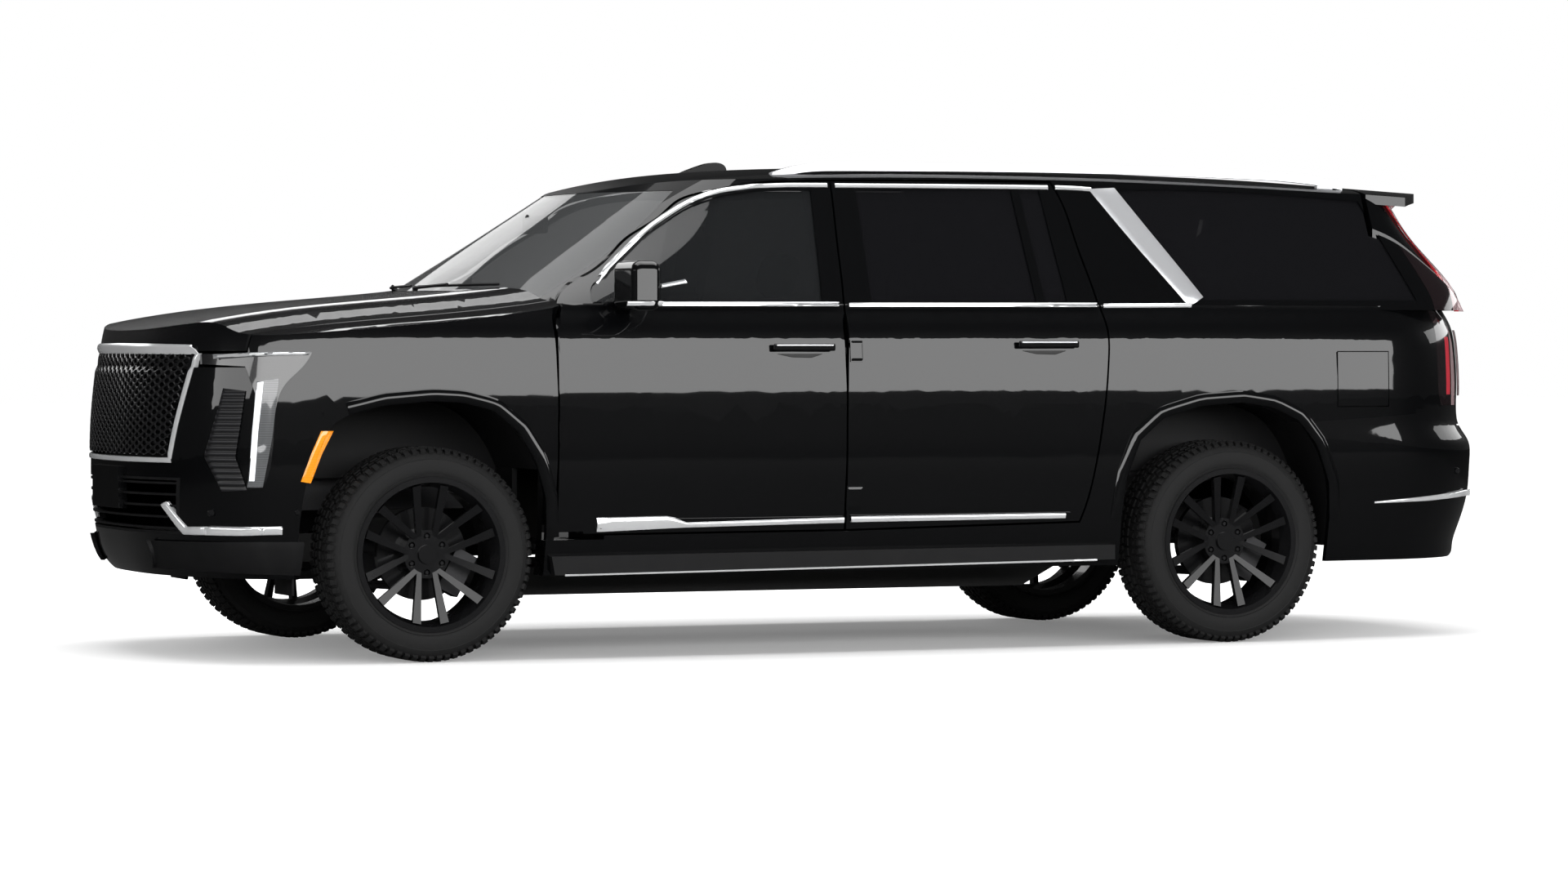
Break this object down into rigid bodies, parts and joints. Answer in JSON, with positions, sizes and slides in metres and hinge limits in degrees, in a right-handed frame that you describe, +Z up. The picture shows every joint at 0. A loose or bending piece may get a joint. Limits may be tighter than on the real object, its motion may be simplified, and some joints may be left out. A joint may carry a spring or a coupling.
{
  "type": "suv",
  "caption": "Large family car with a hollow cabin, three seat rows, side doors, a bonnet, a tailgate, a fuel door and steered road wheels.",
  "frame": {"origin": "On the ground under the middle of the car's bounding box.", "axes": "+X runs from nose to tail, +Y to the vehicle's right-hand side, +Z up."},
  "size_m": [5.7815, 2.4668, 1.9503],
  "materials": {
    "paint": "high gloss black body paint",
    "glass": "dark tinted glass",
    "bright_trim": "bright plated trim",
    "dark_plastic": "grained dark plastic",
    "lamp": "clear lamp lens over a bright reflector",
    "tail_lamp": "red lamp lens",
    "tyre": "matte tyre rubber",
    "wheel_metal": "gloss black cast alloy",
    "upholstery": "soft grain hide",
    "carpet": "cut pile floor covering",
    "soft_trim": "soft touch stitched covering",
    "frame_paint": "black chassis coating",
    "engine_metal": "plain cast alloy",
    "cast_metal": "raw casting"
  },
  "bodies": {
    "root": {"body_side_left": "paint", "body_side_right": "paint", "chassis": "frame_paint", "cowl": "dark_plastic", "dashboard": "soft_trim", "engine": "engine_metal", "exhaust": "engine_metal", "fixed_glass": "glass", "floor": "carpet", "front_bumper": "paint", "grille": "bright_trim", "headlamps": "lamp", "lower_grille": "dark_plastic", "rear_bumper": "paint", "roof": "paint", "roof_rails": "bright_trim", "running_boards": "dark_plastic", "running_gear": "cast_metal", "seat_bases": "dark_plastic", "seats": "upholstery", "tail_lamps": "tail_lamp", "wheel_housings": "dark_plastic", "wings": "paint"},
    "door_front_left": {"door_front_left": "paint", "glass_front_left": "glass", "trim_front_left": "bright_trim"},
    "door_front_right": {"door_front_right": "paint", "glass_front_right": "glass", "trim_front_right": "bright_trim"},
    "door_rear_left": {"door_rear_left": "paint", "glass_rear_left": "glass", "trim_rear_left": "bright_trim"},
    "door_rear_right": {"door_rear_right": "paint", "glass_rear_right": "glass", "trim_rear_right": "bright_trim"},
    "bonnet": {"bonnet": "paint"},
    "tailgate": {"tailgate": "paint", "tailgate_glass": "glass"},
    "fuel_door": {"fuel_door": "paint"},
    "steering_wheel": {"steering_wheel": "soft_trim"},
    "knuckle_left": {"knuckle_left": "cast_metal"},
    "knuckle_right": {"knuckle_right": "cast_metal"},
    "wheel_front_left": {"tyre_front_left": "tyre", "rim_front_left": "wheel_metal"},
    "wheel_front_right": {"tyre_front_right": "tyre", "rim_front_right": "wheel_metal"},
    "wheel_rear_left": {"tyre_rear_left": "tyre", "rim_rear_left": "wheel_metal"},
    "wheel_rear_right": {"tyre_rear_right": "tyre", "rim_rear_right": "wheel_metal"}
  },
  "joints": [
    {"name": "door_front_left", "type": "hinge", "parent": "root", "child": "door_front_left", "pos_m": [-1.34417, -0.99088, 0.8775], "axis": [0, 0, -1], "range_deg": [0, 68]},
    {"name": "door_rear_left", "type": "hinge", "parent": "root", "child": "door_rear_left", "pos_m": [-0.14151, -0.99088, 0.8775], "axis": [0, 0, -1], "range_deg": [0, 68]},
    {"name": "door_front_right", "type": "hinge", "parent": "root", "child": "door_front_right", "pos_m": [-1.34417, 0.99088, 0.8775], "axis": [0, 0, 1], "range_deg": [0, 68]},
    {"name": "door_rear_right", "type": "hinge", "parent": "root", "child": "door_rear_right", "pos_m": [-0.14151, 0.99088, 0.8775], "axis": [0, 0, 1], "range_deg": [0, 68]},
    {"name": "bonnet", "type": "hinge", "parent": "root", "child": "bonnet", "pos_m": [-1.35807, 0, 1.37183], "axis": [0, 1, 0], "range_deg": [0, 50]},
    {"name": "tailgate", "type": "hinge", "parent": "root", "child": "tailgate", "pos_m": [2.28446, 0, 1.86653], "axis": [0, -1, 0], "range_deg": [0, 78]},
    {"name": "fuel_door", "type": "hinge", "parent": "root", "child": "fuel_door", "pos_m": [2.01024, -1.00575, 1.06665], "axis": [0, 0, -1], "range_deg": [0, 85]},
    {"name": "steer_left", "type": "hinge", "parent": "root", "child": "knuckle_left", "pos_m": [-1.886, -0.81, 0.41], "axis": [0, 0, 1], "range_deg": [-32, 32]},
    {"name": "steer_right", "type": "hinge", "parent": "root", "child": "knuckle_right", "pos_m": [-1.886, 0.81, 0.41], "axis": [0, 0, 1], "range_deg": [-32, 32]},
    {"name": "steering_wheel", "type": "hinge", "parent": "root", "child": "steering_wheel", "pos_m": [-0.83695, -0.38625, 1.1115], "axis": [0.9135, 0, 0.4067], "range_deg": [-448, 448]},
    {"name": "wheel_front_left", "type": "hinge", "parent": "knuckle_left", "child": "wheel_front_left", "pos_m": [-1.886, -0.87, 0.41], "axis": [0, 1, 0], "continuous": true},
    {"name": "wheel_front_right", "type": "hinge", "parent": "knuckle_right", "child": "wheel_front_right", "pos_m": [-1.886, 0.87, 0.41], "axis": [0, 1, 0], "continuous": true},
    {"name": "wheel_rear_left", "type": "hinge", "parent": "root", "child": "wheel_rear_left", "pos_m": [1.52, -0.87, 0.41], "axis": [0, 1, 0], "continuous": true},
    {"name": "wheel_rear_right", "type": "hinge", "parent": "root", "child": "wheel_rear_right", "pos_m": [1.52, 0.87, 0.41], "axis": [0, 1, 0], "continuous": true}
  ],
  "couplings": [
    {"joint": "steer_right", "follows": "steer_left", "ratio": 1},
    {"joint": "steering_wheel", "follows": "steer_left", "ratio": 14}
  ]
}
